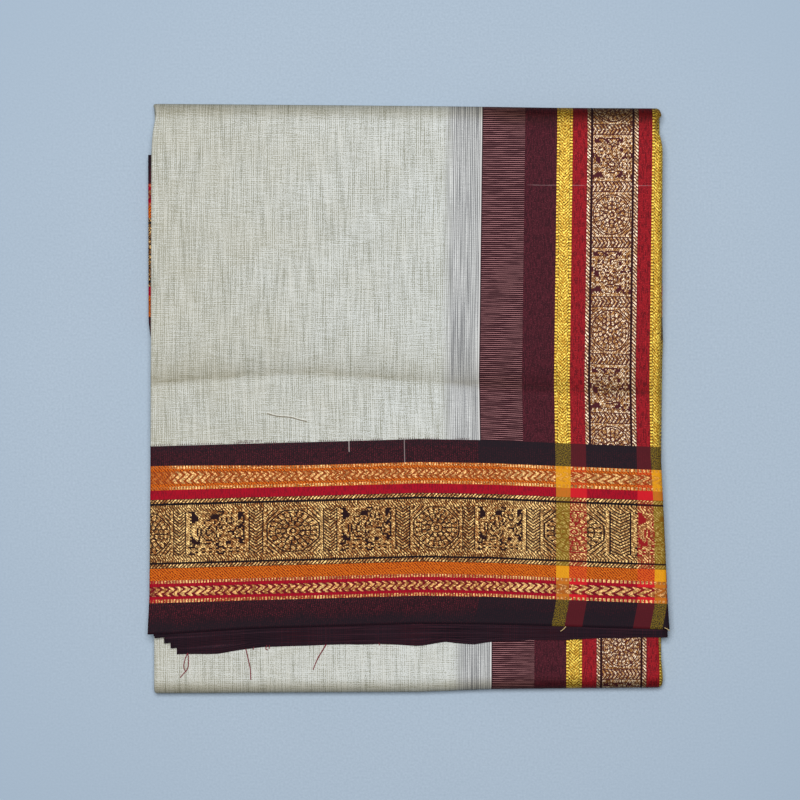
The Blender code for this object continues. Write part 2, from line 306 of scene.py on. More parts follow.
# The zari ornament, shared by the border and the pallu. Its panels follow each other along the
# band: bird, chevrons, roundel, chevrons. Sizes are in millimetres on the border, and the rings of
# the roundel in shares of its half.
PANEL_REPEAT = 111.7
BAND_WIDTH = 42.0
BIRD_END = 42.9
ROUNDEL_START = 56.8
ROUNDEL_END = 97.5
ROUNDEL_HALF = 19.8
ROUNDEL_MIDDLE = (ROUNDEL_START + ROUNDEL_END) / 2
RINGS = ((0.637, 0.673), (0.437, 0.473), (0.238, 0.282), (0.07, 0.13))
FIRST_DIVIDER = (BIRD_END + ROUNDEL_START) / 2
LAST_DIVIDER = (ROUNDEL_END + PANEL_REPEAT) / 2
BIRD = [
    "##################################",
    "#.::::::::::::::::::.##.#.###....#",
    "##...:::#:::::......##:#::###...##",
    "#.....::##:::.....##:::#:::##....#",
    "##....:##::::.....#.::.#..::#..#.#",
    "#.....##:::..:###.#.:#.##.::#.:#.#",
    "##..:####.#####.####:#.###.#:#:#.#",
    "#.::#####.##:##.##.##:#...:#:.#..#",
    "##:#####.##::.###..#.:#::::#:#..##",
    "#.:###.##.::.:::.##.##.:::##.....#",
    "##:##.#.:::..:::.#..####.##.#..#.#",
    "#.:##.#.::.##.::.##:.######.###..#",
    "##:##.#.::.###.:::##:#:....#.###.#",
    "#.:##.#.::.##.:::##:##::#:.##.##.#",
    "##:##.#.:#:..:::.#.:##:##:.#.###.#",
    "#..###.#.:##::::.#.:#::#:#:.###..#",
    "##..##.##.::::#.#.::#:##::#....#.#",
    "#....:.###....##.:##:#:#:##:#:...#",
    "##.....:######.:#:.:::...::##...##",
    "#.:....::....::#..::##...#::#:...#",
    "#::.#:::#::#:#::..:##:::#::##::#:#",
    "##################################",
    "#.##..##..##..##..##..##..##..##.#",
    "##::##::##::##::##::##::##::##::##",
    "#.##..##..##..##..##..##..##..##.#",
    "##################################",
]
HALF_CHART = 17
BIRD_CELL = 1.262


def charted(x, y, chart, specked):
    """1 where the weaver's chart has gold, for x and y in cells from its lower left corner.

    A hash is gold and a colon is specked gold. Each row of the chart is one stop of a ramp: its red
    and green hold the hashes of the left and right half as binary fractions, and its blue and alpha
    the colons. Doubling a fraction once a cell reads the cells off.
    """
    ramp = add("ShaderNodeValToRGB", {0: formula("y / rows", y=y, rows=float(len(chart)))})
    ramp.color_ramp.interpolation = "CONSTANT"
    for number, row in enumerate(reversed(chart)):
        codes = []
        for kind in "#:":
            for half in (row[:HALF_CHART], row[HALF_CHART:]):
                spots = [spot for spot, mark in enumerate(half) if mark == kind]
                codes.append(sum(0.5 ** (spot + 1) for spot in spots))
        if number < 2:
            stop = ramp.color_ramp.elements[number]
            stop.position = number / len(chart)
        else:
            stop = ramp.color_ramp.elements.new(number / len(chart))
        stop.color = codes
    code = add("ShaderNodeSeparateColor", {0: ramp.outputs["Color"]})
    late = formula("x > half", x=x, half=float(HALF_CHART))
    power = formula("2 ** (floor(x) - late * half)", x=x, late=late, half=float(HALF_CHART))
    bits = []
    hashes, colons = code.outputs[:2], (code.outputs[2], ramp.outputs["Alpha"])
    for left, right in (hashes, colons):
        value = formula("a + late * (b - a)", a=left, b=right, late=late)
        bits.append(formula("floor(fract(value * power + 0.0001) * 2)", value=value, power=power))
    return formula("max(a, b * s)", a=bits[0], b=bits[1], s=specked)


def brocade(along, across, coarse, strip, round_part):
    """1 where the ornament shows gold. Coarse widens what would be too fine to show, strip is how
    wide the twill at each edge of the band is, and round_part turns the roundel from octagon to
    circle."""
    specked = formula("1 - (fract((x + y) / p) < 0.45) * (fract((x - y) / p) < 0.6)",
                      x=along, y=across, p=2.2 * coarse)
    bound = formula("fract((x * 0.8 + y) / p) < 0.34", x=along, y=across, p=1.75 * coarse)
    twill = formula("fract((x + y * 0.9) / p) < 0.6", x=along, y=across, p=2.3 * coarse)
    dots = formula("fract(x / p) < 0.55", x=along, p=1.6 * coarse)
    rim = formula("max(y < low, y > high)", y=across, low=1.4, high=BAND_WIDTH - 1.4)
    edging = formula("dots * rim + twill * (1 - rim)", dots=dots, twill=twill, rim=rim)
    in_strip = formula("max(y < low, y > high)", y=across, low=strip, high=BAND_WIDTH - strip)
    half = BAND_WIDTH / 2 - strip

    x = formula("(a - middle) / half", a=along, middle=ROUNDEL_MIDDLE, half=ROUNDEL_HALF)
    y = formula("(c - middle) / half", c=across, middle=BAND_WIDTH / 2, half=half * 0.97)
    away = formula("sqrt(x * x + y * y)", x=x, y=y)
    outline = formula("max(max(abs(x), abs(y)), (abs(x) + abs(y)) * 0.74) * (1 - k) + d * k",
                      x=x, y=y, d=away, k=round_part)
    reach = formula("d * 0.6 + o * 0.4", d=away, o=outline)
    turn = formula("atan2(y, x) / 6.28318", x=x, y=y)
    petals = formula("(abs(fract(t * 22) - 0.5) + max(abs(r - 0.76) - 0.06, 0) * 3 > 0.4)"
                     " * (r > 0.66) * (r < 0.9)", t=turn, r=reach)
    florets = formula("(abs(fract(t * 15) - 0.5) > 0.36) * (abs(r - 0.55) < 0.075)", t=turn,
                      r=reach)
    beads = formula("(abs(fract(t * 9) - 0.5) > 0.33) * (abs(r - 0.36) < 0.07)", t=turn, r=reach)
    rings = within(reach, *RINGS)
    gaps = formula("max(max(petals, florets), max(beads, rings))", petals=petals, florets=florets,
                   beads=beads, rings=rings)
    gaps = formula("max(gaps * (o < 0.95), abs(o - 0.975) < 0.028)", gaps=gaps, o=outline)
    corner = formula("(o > 1.03) * (fract((abs(x) * 1.25 + abs(y)) * 4.2) < 0.32)", o=outline, x=x,
                     y=y)
    roundel = formula("1 - max(gaps, corner)", gaps=gaps, corner=corner)

    middle = formula("min(abs(a - first), abs(a - last))", a=along, first=FIRST_DIVIDER,
                     last=LAST_DIVIDER)
    chevron = formula("fract((c - m * 0.75) / p) > 0.4", c=across, m=middle,
                      p=2.3 * coarse * coarse)
    post = formula("m > 4.6", m=middle)
    divider = formula("chevron * (1 - post) + post * (m > 5.4)", chevron=chevron, post=post,
                      m=middle)

    bird = charted(formula("a / size", a=along, size=BIRD_CELL),
                   formula("(c - strip) / size", c=across, strip=strip, size=2 * half / len(BIRD)),
                   BIRD, specked)
    in_roundel = within(along, (ROUNDEL_START, ROUNDEL_END))
    in_bird = formula("a < end", a=along, end=BIRD_END)
    panel = formula("roundel * p + bird * q + divider * (1 - p - q)", roundel=roundel, bird=bird,
                    divider=divider, p=in_roundel, q=in_bird)
    return formula("(edging * s + panel * (1 - s)) * (1 - b * 0.6 * (1 - s))", edging=edging,
                   panel=panel, s=in_strip, b=bound)


def rope(along, across, lean):
    """A cord of gold between two bands, in slanting strokes."""
    return formula("fract((a + c * lean) / 2.6) > 0.42", a=along, c=across, lean=lean)


def glitter(u, v):
    """A random value for each float of zari, drawn twice as coarse as the half millimetre it is. It
    sets each float's painted glint and its relief.
    """
    place = cell(u, v, 0.95, 0.85, 5.0)
    place = add("ShaderNodeVectorMath", {0: place}, operation="FLOOR").outputs[0]
    return add("ShaderNodeTexWhiteNoise", {"Vector": place}, noise_dimensions="3D").outputs[0]


# Border cloth: silk dyed maroon, crimson and orange, with zari. From the selvedge: maroon, arrows
# on crimson, orange, the ornament between two ropes, crimson, leaves on orange, and maroon. Seen
# close, the zari has a painted glint float by float, and a painted sheen. Its floats and the
# orange twill are drawn coarser, to show.
BORDER = 137.0
MAROON = "#30141C"
MAROON_DARK = "#1A0E15"
MAROON_BLUE = "#1B151D"
MAROON_FLECK = "#742432"
# Selvedge leaves: painted light, a red fleck of their own, and painted shade lines
LEAF_PAINTED_LIGHT = "#463C48"
SELVEDGE_RED = "#401A24"
LEAF_PAINTED_SHADE = "#150C14"
CRIMSON = "#A20520"
CRIMSON_DARK = "#70081C"
ORANGE = "#C4560C"
ORANGE_DARK = "#541405"
ORANGE_FLECK = "#E87C1E"
CROSSED_OLIVE = "#DCB81E"
CROSSED_YELLOW = "#E8A41A"
CROSSED_RED = "#E02028"
LINE_BLACK = "#150A10"
STRAY_PALE = "#A89A98"
STRAY_DIM = "#9A8C8C"
GOLD = "#905A2A"
GOLD_BRIGHT = "#FFD68E"
GOLD_DULL = "#4C2E15"
GOLD_COPPER = "#DC8C54"
GOLD_PAINTED_GLINT = "#F2D08A"
GOLD_FADED = "#8A4A1E"
GOLD_GREEN = "#9C9838"
ZARI_GROUND = "#220C10"
LEAF_SHADE = "#7A3016"
ARROW_SHADE = "#560E1A"
# Bands of the border, from the selvedge
CRIMSON_BANDS = ((21.4, 37.7), (97.4, 104.2))
ORANGE_BANDS = ((37.7, 46.6), (104.2, 120.0))
ZARI_BAND = (46.6, 97.4)
ORNAMENT = (51.0, 93.0)
STRIP = 5.0
BORDER_ROPES = ((46.9, 49.6), (94.6, 97.2))
BLACK_LINES = ((49.7, 51.0), (93.0, 94.4))
ARROW_GROUND = (25.9, 33.1)
SELVEDGE_BLUE = 13.0
# The two bands of twined leaves: their width and repeat, the ticks at their edges and the repeat of
# those, and where the left end grows dull, over what length and to what share
Vine = namedtuple("Vine", "middle half repeat ticks tick dull over share")
ARROWS = Vine(29.5, 3.5, 5.55, ((21.4, 23.8), (35.4, 37.7)), 2.25, -190.0, 5.0, 0.4)
LEAFAGE = Vine(112.2, 3.7, 5.2, ((104.4, 106.6), (117.7, 119.9)), 2.15, -181.0, 9.0, 0.5)
# Stripes of the pallu, along the cloth, whose colours mix with the border's where they cross it
FIRST_YELLOW = (108.8, 120.3)
LAST_YELLOW = (179.1, 190.6)
INNER_RED = (131.4, 168.8)
# Two stray threads of the weft, and the place along the cloth that the selvedge leaves lie past
FIRST_STRAY = -43.2
LAST_STRAY = -2.4
SELVEDGE_LEAVES = -205.0
# Where the zari has a painted glint, as where the bent cloth catches the light: the place along the
# cloth, how far to each side and how much
PaintedGlint = namedtuple("PaintedGlint", "u half strength")
PAINTED_GLINTS = [PaintedGlint(-162.0, 17.0, 1.0), PaintedGlint(-64.0, 7.0, 1.0), PaintedGlint(89.0, 21.0, 1.0),
          PaintedGlint(150.0, 45.0, 0.7)]
# Edges of the ornament's panels, and where in the repeat each of them comes
Panel = namedtuple("Panel", "u repeat")
PANEL_EDGES = [Panel(*row) for row in (
    (-240, -95.9), (-175.0, -14.2), (-162.4, 0.0), (-119.5, 42.9), (-105.4, 56.8), (-64.7, 97.5),
    (-50.7, 111.7), (-11.4, 154.6), (3.0, 168.5), (38.1, 209.2), (50.7, 223.4), (85.1, 266.3),
    (98.8, 280.2), (145.4, 320.9), (166.8, 335.1), (240, 402.0),
)]


def panel_place(u):
    """Where a place lies in the ornament's repeat: the weaver did not beat every panel alike."""
    first, last = PANEL_EDGES[0], PANEL_EDGES[-1]
    curve = add("ShaderNodeFloatCurve", {1: formula("(u - a) / (b - a)", u=u, a=first.u, b=last.u)})
    points = curve.mapping.curves[0].points
    for edge in PANEL_EDGES[1:-1]:
        along = (edge.u - first.u) / (last.u - first.u)
        points.new(along, (edge.repeat - first.repeat) / (last.repeat - first.repeat))
    for point in points:
        point.handle_type = "VECTOR"
    curve.mapping.update()
    return formula("fract((p * (b - a) + a) / repeat) * repeat", p=curve.outputs[0],
                   a=first.repeat, b=last.repeat, repeat=PANEL_REPEAT)


def twined(vine, along, across, uneven):
    """1 where a narrow band of twined leaves shows gold, with gaps between: the upper ones lean
    back from the lower ones, and every tip points on along the band."""
    return formula(
        "(fract((a - (abs(c + h * 0.5) - abs(c - h * 0.5)) * 1.4 + c * 1.4 + (n - 0.5) * 2) / p)"
        " < 0.7 - abs(c) / h * 0.26) * (abs(c) < h)", a=along, p=vine.repeat, h=vine.half,
        c=formula("c - middle", c=across, middle=vine.middle), n=uneven)


def vine_gold(vine, leaves, beat, u, v):
    """1 where the leaves of a vine or its ticks show gold, and less at its dull left end."""
    return formula("((fract(b / tick) < 0.6) * i + g) * min(max((u - dull) / over, share), 1)",
                   b=beat, tick=vine.tick, i=within(v, *vine.ticks), g=leaves, u=u,
                   dull=vine.dull, over=vine.over, share=vine.share)


def zari_finish(metal):
    """The shine of silk where metal is 0, and of gilt wire where it is 1."""
    return {"Metallic": formula("m * 0.25", m=metal),
            "Roughness": formula("0.6 - m * 0.12", m=metal), "Specular IOR Level": 0.06}


border_cloth, tree = start_material("Korvai border silk with zari, extra weft")
u, v = cloth_place()
sparkle = glitter(u, v)
grain = streaks(u, v, 9.0, 0.9, 5.0)
speck = streaks(u, v, 27.0, 0.8, 0.8)
dull = streaks(u, v, 15.0, 22.0, 60.0)
drawn_in = formula("min(max((130 - v) / 60, 0), 1) * 2.4", v=v)
yellow_end = formula("end - d * 0.8", end=FIRST_YELLOW[1], d=drawn_in)
yellow_start = formula("start + d", start=LAST_YELLOW[0], d=drawn_in)
yellow = within(u, (FIRST_YELLOW[0], yellow_end), (yellow_start, LAST_YELLOW[1]))
red = within(u, (yellow_end, INNER_RED[0]), (INNER_RED[1], yellow_start))
in_crimson = within(v, *CRIMSON_BANDS)
in_orange = within(v, *ORANGE_BANDS)
in_zari = within(v, ZARI_BAND)

in_leaf = formula("u < end", u=u, end=SELVEDGE_LEAVES)
blue = formula("min(max(min(max((edge - v) / 8 + (d - 0.5) * 1.6, 0), 1), (v > 132) * 0.4) * 0.75"
               " + (u > 52) * 0.7, 0.85)", edge=SELVEDGE_BLUE, v=v, u=u, d=dull)
silk = dyed(
    MAROON, ("(g < 0.5) * 0.75", MAROON_DARK),
    ("(fract(u / 1.55) < 0.5) * (s > 0.56) * 0.65", MAROON_FLECK), (blue, MAROON_BLUE),
    # On the selvedge leaves: painted light lifts them out of the stack's shade, red flecks are
    # their own, and dark streaks are painted shade between the leaves
    ("l * 0.26", LEAF_PAINTED_LIGHT), ("l * min(max((n - 0.5) * 4, 0), 0.7)", SELVEDGE_RED),
    ("l * min(max((0.46 - n) * 5, 0), 0.8)", LEAF_PAINTED_SHADE),
    (in_crimson, CRIMSON), ("c * (g * 0.6 + s * 0.4 < 0.48) * 0.65", CRIMSON_DARK),
    (in_orange, ORANGE),
    ("o * (fract((u + v + (s - 0.5) * 1.2) / 2.25) < 0.42) * 0.95", ORANGE_DARK),
    ("o * (s > 0.55) * 0.75", ORANGE_FLECK), (in_zari, ZARI_GROUND),
    ("y * (0.04 + 0.2 * (s > 0.5)) * (1 - c - o - z)", CROSSED_OLIVE),
    ("y * (0.4 * c + 0.7 * o + 0.24 * z + (g > 0.5) * o * 0.12)", CROSSED_YELLOW),
    ("r * (0.09 + 0.55 * c + 0.2 * o + 0.28 * z)", CROSSED_RED), ("b * 0.9", LINE_BLACK),
    ("(abs(u - first) < 0.3) * (v > 129)", STRAY_PALE),
    ("(abs(u - last) < 0.3) * (v > 119) * 0.7", STRAY_DIM),
    u=u, v=v, g=grain, s=speck, l=in_leaf, n=streaks(u, v, 52.0, 70.0, 1.1), c=in_crimson,
    o=in_orange, z=in_zari, y=yellow, r=red, b=within(v, *BLACK_LINES), first=FIRST_STRAY,
    last=LAST_STRAY)

# The weaver beat the middle closer than the left, and the right less close
beat = formula("u + max(u + 60, 0) * 0.08 - max(u - 106, 0) * 0.36", u=u)
leaves = twined(LEAFAGE, beat, v, speck)
leaf_gold = vine_gold(LEAFAGE, formula("g * (n > 0.4)", g=leaves, n=speck), beat, u, v)
arrow_gold = vine_gold(ARROWS, twined(ARROWS, beat, v, speck), beat, u, v)
ornament = brocade(panel_place(u), formula("v - low", v=v, low=ORNAMENT[0]), coarse=1.0,
                   strip=STRIP, round_part=0.25)
gold = formula("(a + l + r * s + g * i) * (1 - y * (0.25 + o * 0.35))", a=arrow_gold, l=leaf_gold,
               r=rope(u, v, lean=-1.0), s=within(v, *BORDER_ROPES), g=ornament,
               i=within(v, ORNAMENT), y=yellow, o=in_orange)

# Painted highlights: glints at those places, and a broader painted sheen in patches
painted_glint = 0.0
for place in PAINTED_GLINTS:
    painted_glint = formula("max(r, most - abs(u - at) / half)", r=painted_glint, most=place.strength, u=u,
                     at=place.u, half=place.half)
sheen = formula("min(max((d - 0.42) * 2.2, 0), 0.8) + r * 0.9", d=dull, r=painted_glint)
# Painted glints: each float of gold is brighter or darker by its sparkle, and brighter under the
# painted sheen and glints; the copper, faded and green tints are its own colour
gold_colour = dyed(
    GOLD, ("max(0.45 - s, 0) * 2.1", GOLD_DULL), ("max(s - 0.5, 0) * (1.7 + h)", GOLD_BRIGHT),
    ("(1 - z) * (0.1 + (s > 0.6) * 0.25)", GOLD_COPPER), ("r * (0.35 - z * 0.15)", GOLD_PAINTED_GLINT),
    ("(v > edge) * min(max((0 - 172 - u) / 9, 0), 0.75)", GOLD_FADED),
    ("y * z * 0.5", GOLD_GREEN), s=sparkle, h=sheen, r=painted_glint, y=yellow, z=in_zari, u=u, v=v,
    edge=ZARI_BAND[1])
colour = dyed(silk, ("(abs(v - middle) < 3.8) * (1 - l) * (1 - y) * 0.6", LEAF_SHADE),
              ("a * (0.75 - y * 0.45)", ARROW_SHADE), (gold, gold_colour), v=v, l=leaves,
              y=yellow, a=within(v, ARROW_GROUND), middle=LEAFAGE.middle)
relief = formula("w * 0.012 + g * 0.05 + g * s * 0.05", w=plain_weave(u, v), g=gold, s=sparkle)
finish_cloth(colour, relief, zari_finish(gold))

# Pallu cloth, from the body on: maroon with fine pale ribs, plain maroon, yellow zari, red, the
# ornament between ropes, and the same back again to plain and ribbed maroon. The pale ribs give it
# a dusty look from afar. They are drawn at their real spacing, and the grain of the silk coarser.
RIB = 1.48
RIB_PALE = "#DC9C9E"
RIB_GROUND = "#2C0B16"
PLAIN_MAROON = "#481823"
PLAIN_SHADE = "#2C0F18"
PLAIN_FLECK = "#7A3440"
PALLU_RED = "#921620"
RED_SHADE = "#560A14"
RED_LINE = "#6E1420"
RED_FLECK = "#C83038"
FIRST_LINE = "#2A1820"
PALLU_GROUND = "#4A1C22"
ROPE_LINE = "#2A1014"
STRAY_WARP = "#A8888A"
FOLD_SHADE = "#1E1014"
YELLOW_ZARI = "#B28020"
YELLOW_DARK = "#2C1E04"
YELLOW_BRIGHT = "#FFE468"
PALE_ZARI = "#AC7B42"
PALE_ZARI_DARK = "#48240F"
PALE_ZARI_BRIGHT = "#FFECD0"
# Places along the cloth: its plain stripes, and the ornament with its ground, ropes and lines. The
# ornament is finer than the border's, and its pattern starts from its last edge
PLAIN_STRIPES = ((85.1, 108.8), (190.6, 214.0))
ORNAMENT_STRIPE = (131.2, 169.0)
ORNAMENT_ALONG = (135.5, 164.2)
ORNAMENT_LAST = 164.3
ORNAMENT_FINER = 1.453
PALLU_ROPES = ((131.3, 133.7), (165.9, 168.8))
ROPE_LINES = ((133.9, 135.2), (164.4, 165.7))
PALLU_MIDDLE = 150.0
# Across the cloth: the ornament's repeat, a place and its share of the repeat, and a stray thread
PALLU_REPEAT = 83.6
PALLU_START = 219.75
PALLU_SHARE = 0.6907
STRAY_ACROSS = 324.8
# The yellow stripe's own sizes: its width, its middle, its rows of beads and their seams
YELLOW_WIDTH = 11.5
BRAID_MIDDLE = 5.75
BEAD_ROWS = (1.6, 9.9)
SEAMS = (1.9, 9.6)

pallu_cloth, tree = start_material("Pallu silk with zari, extra weft")
u, v = cloth_place()
u = formula("u + (v > turned) * max(u - middle, 0) * 0.05", u=u, v=v, turned=TURNED_PANEL,
            middle=PALLU_MIDDLE)
sparkle = glitter(u, v)
grain = streaks(u, v, 9.0, 0.9, 6.0)
warp = streaks(u, v, 15.0, 14.0, 0.8)
speck = streaks(u, v, 27.0, 0.9, 0.9)
ground, slubs = body_ground(u, v)
wave = formula("v + (streak - 0.5) * 0.35", v=v, streak=streaks(u, v, 31.0, 30.0, 14.0))
rib = formula("(fract(w / rib) < 0.19) * min(max((s - 0.3) * 4, 0.4), 1)", w=wave, rib=RIB, s=warp)
ribbed = dyed(RIB_GROUND, ("r * 0.85", RIB_PALE), r=rib)
plain = dyed(PLAIN_MAROON, ("(g < 0.5) * 0.7", PLAIN_SHADE), ("(s > 0.6) * 0.4", PLAIN_FLECK),
             g=grain, s=speck)
red_silk = dyed(PALLU_RED, ("(g < 0.47) * 0.75", RED_SHADE),
                ("(fract(v / 1.7) < 0.4) * (w > 0.5) * 0.5", RED_LINE),
                ("(s > 0.6) * 0.45", RED_FLECK), g=grain, s=speck, v=v, w=warp)
in_red = within(u, (FIRST_YELLOW[1], LAST_YELLOW[0]))
ground = dyed(ground, ("u > start", ribbed),
              ("(abs(u - start - 0.5) < 0.4) * 0.8", FIRST_LINE),
              (within(u, *PLAIN_STRIPES), plain), (in_red, red_silk),
              (within(u, ORNAMENT_STRIPE), PALLU_GROUND), (within(u, *ROPE_LINES), ROPE_LINE),
              ("(abs(v - at) < 0.25) * (u > 87) * (w > 0.4) * 0.4", STRAY_WARP), u=u, v=v,
              start=BODY_END, at=STRAY_ACROSS, w=warp)

panel = formula("fract((v - start) / turn + share) * repeat", v=v, start=PALLU_START,
                turn=PALLU_REPEAT, share=PALLU_SHARE, repeat=PANEL_REPEAT)
ornament = brocade(panel, formula("(last - u) * finer", u=u, last=ORNAMENT_LAST,
                                  finer=ORNAMENT_FINER), coarse=1.32, strip=0.0, round_part=0.85)
ropes = formula("r * i", r=rope(v, u, lean=1.0), i=within(u, *PALLU_ROPES))
gold = formula("g * i + r", g=ornament, i=within(u, ORNAMENT_ALONG), r=ropes)
# Painted glints: each float of zari is brighter or darker by its sparkle, and the ropes a little
# brighter
gold_colour = dyed(
    PALE_ZARI, ("max(0.45 - s, 0) * 2.1", PALE_ZARI_DARK),
    ("max(s - 0.5, 0) * 1.9 + r * 0.1", PALE_ZARI_BRIGHT), s=sparkle, r=ropes)

local = formula("(u - first) * (u < middle) + (u - last) * (u > middle)", u=u,
                first=FIRST_YELLOW[0], last=LAST_YELLOW[0], middle=PALLU_MIDDLE)
yellow = within(local, (0.0, YELLOW_WIDTH))
beads = formula("max(l < low, l > high)", l=local, low=BEAD_ROWS[0], high=BEAD_ROWS[1])
seams = formula("max(abs(l - low) < 0.3, abs(l - high) < 0.3)", l=local, low=SEAMS[0],
                high=SEAMS[1])
braid = formula("fract((v - abs(l - middle) * 1.05 + (n - 0.5) * 4) / 2.35) * (1 - b)"
                " + fract((v + (n - 0.5) * 0.6) / 2.3) * b", v=v, l=local, middle=BRAID_MIDDLE,
                b=beads, n=speck)
# The yellow zari's bright strokes follow its braid, with painted glints added by each float's
# sparkle
yellow_colour = dyed(
    YELLOW_ZARI, ("max((b > 0.7) * (0.5 + (n > 0.48) * 0.5), s * 0.85)", YELLOW_DARK),
    ("(b < 0.42) * (0.22 + max(g - 0.35, 0) * 1.6)", YELLOW_BRIGHT), b=braid, s=seams, n=speck,
    g=sparkle)
# Painted shade: where the folds' painted shade is strong, the red stripe darkens further towards
# FOLD_SHADE
painted_shade = add("ShaderNodeAttribute", attribute_name="painted_shade").outputs["Fac"]
colour = dyed(ground, (gold, gold_colour), (yellow, yellow_colour),
              ("max(w - 0.45, 0) * i * 1.3", FOLD_SHADE), w=painted_shade, i=in_red)
metal = formula("max(g, y)", g=gold, y=yellow)
relief = formula("w * 0.012 + m * 0.05 + m * s * 0.06 + r * 0.03 * (u < end) * (1 - m)",
                 w=plain_weave(u, v), m=metal, s=sparkle, r=rib, u=u, end=PLAIN_STRIPES[0][0])
finish_cloth(colour, relief, zari_finish(metal))
CLOTHS = [body_cloth, border_cloth, pallu_cloth]

# The outermost layer of the folded stack: one sheet that goes once round the bundle, from the top
# panel's selvedge over the back fold, along the floor, round the front fold and up under the top
# panel. At each side it turns in round the sixteen layers, as the last fold left it.
# The sixteen layers of the top panel, the air under them and the outer ends of the panels, in
# millimetres
STACK = 6.85
GAP = 0.3
BACK_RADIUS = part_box("back_fold")[1][2] / MM / 2
FRONT_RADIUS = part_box("front_fold")[1][2] / MM / 2
FLAP_FRONT = -166.1
BACK_TIP = 217.2
FRONT_TIP = -216.6
INNER_SELVEDGE = 180.9
TURNED_TOP = 2 * FRONT_RADIUS
TOP_HEIGHT = TURNED_TOP + GAP + STACK
BACK_START = BACK_TIP - BACK_RADIUS - FLAP_FRONT
FLOOR_START = BACK_START + math.pi * BACK_RADIUS
FLOOR_RUN = (BACK_TIP - BACK_RADIUS) - (FRONT_TIP + FRONT_RADIUS)
FRONT_START = FLOOR_START + FLOOR_RUN
TURNED_START = FRONT_START + math.pi * FRONT_RADIUS
CLOTH_WIDTH = TURNED_START + INNER_SELVEDGE - (FRONT_TIP + FRONT_RADIUS)
SECOND_BORDER = CLOTH_WIDTH - BORDER
# The flat between the side rolls, the radius of each roll and how far its tail turns in, how high
# the top panel pillows, and where the pallu's cloth takes over from the body's
FLAT = (-176, 171)
LEFT_CURL = 1.65
RIGHT_CURL = 3.35
LEFT_TAIL = 11
RIGHT_TAIL = 12
PILLOW = 0.9
PALLU_CLOTH_START = 44
SHEET_THICKNESS = 0.35
# Faint lines pressed into the top border, by their places along the cloth, how slack the border
# lies at the left, and how far the panels below have crept
PRESSED_LINES = (-174, -64, 95)
SLACK = 2.4
CREEP = 21.5

# Side edges of the stack, by distance across the cloth from the top selvedge
Edge = namedtuple("Edge", "across left right")
EDGES = [Edge(*row) for row in (
    (0, -193.1, 192.4), (25, -191.7, 190.9), (60, -191.4, 189.4), (118, -190.9, 186.6),
    (140, -190.9, 185.4), (240, -190.5, 186.5), (345, -190.2, 187.3), (354, -189.8, 187.2),
    (362, -189.2, 185.6), (369, -188.0, 182.9), (375, -186.9, 184.6), (380, -187.8, 186.6),
    (386, -189.3, 186.2), (410, -188.9, 186.0), (800, -188.6, 187.2), (845, -188.7, 188.0),
    (870, -188.7, 185.4), (940, -189.6, 186.0), (1075, -190.2, 187.4), (1092, -190.4, 188.2),
    (1110, -192.8, 187.6), (1233, -193.1, 187.6),
)]
# How far the folds, the border and the selvedge run out of straight, along the cloth
Drift = namedtuple("Drift", "along front back border selvedge")
DRIFTS = [Drift(*row) for row in (
    (-195, -1.3, 1.8, -5.6, -1.8), (-174, -1.2, 1.7, -5.0, -1.8), (-118, -0.9, 1.3, -3.4, 0.4),
    (-70, -0.6, 0.9, -2.2, 0.5), (8, -0.2, 0.2, 0.0, 0.6), (61, 1.8, -0.4, -0.9, 1.0),
    (108, 2.3, -1.1, -2.9, 1.8), (190, 3.0, -1.6, -6.2, 2.6),
)]
# How far the woven bands lie to the right of their place in the middle of the top panel
Skew = namedtuple("Skew", "across shift")
SKEWS = [Skew(*row) for row in (
    (-20, -4.0), (0, -3.7), (20, -0.4), (100, -0.4), (134, -1.1), (184, -1.9), (374, 0.6),
    (800, 7.4), (1240, 8.4),
)]
# The crease of an older fold, which runs a little aslant over the top panel
Crease = namedtuple("Crease", "along across")
CREASE = [Crease(*row) for row in (
    (-195, 182.6), (-118, 186.8), (-80, 188.0), (-7, 181.8), (60, 176.8), (190, 175.4),
)]


def ease(low, high, value):
    """0 below low, 1 above high, and a soft rise between them."""
    part = min(max((value - low) / (high - low), 0.0), 1.0)
    return part * part * (3 - 2 * part)


def read(rows, name, at):
    """The named value at a place, between the rows of a table, whose first value is the place."""
    return float(np.interp(at, [row[0] for row in rows], [getattr(row, name) for row in rows]))


def wander(a, b, size, seed):
    """Smooth unevenness between -1 and 1, as wide as size."""
    total = 0.0
    for step in range(3):
        angle = seed * 1.7 + step * 2.1
        across = (a * math.cos(angle) + b * math.sin(angle)) / size
        total += math.sin(2 * math.pi * across + seed * (step + 1) * 1.3)
    return total / 3


def bell(value, width):
    return math.exp(-(value / width) ** 2)


def top_relief(across, along):
    """How far the top panel stands above its flat height: a low pillow, its crease and ripples."""
    from_side = min(along - read(EDGES, "left", across), read(EDGES, "right", across) - along)
    inner = ease(0, 28, from_side)
    over = inner * ease(0, 60, across) * (1 - ease(300, 345, across))
    past = across - read(CREASE, "across", along)
    reach = 9.0 if past > 0 else 2.4
    depth = 1.5 + 0.35 * wander(along, 0, 130, 4)
    crease = depth * math.exp(-abs(past) / reach) * ease(-2, 30, from_side)
    ridge = 0.45 * bell(past + 7.5, 3.5)
    ripples = 0.16 * wander(along, across, 75, 2) + 0.07 * wander(across, along, 31, 6)
    join = 0.12 * bell(across - BORDER - 5, 7) * wander(along, 0, 22, 3)
    lines = 0.1 * sum(bell(along - place, 3.5) for place in PRESSED_LINES) * (across < BORDER)
    return PILLOW * over - crease + (ridge + ripples + join + lines) * inner


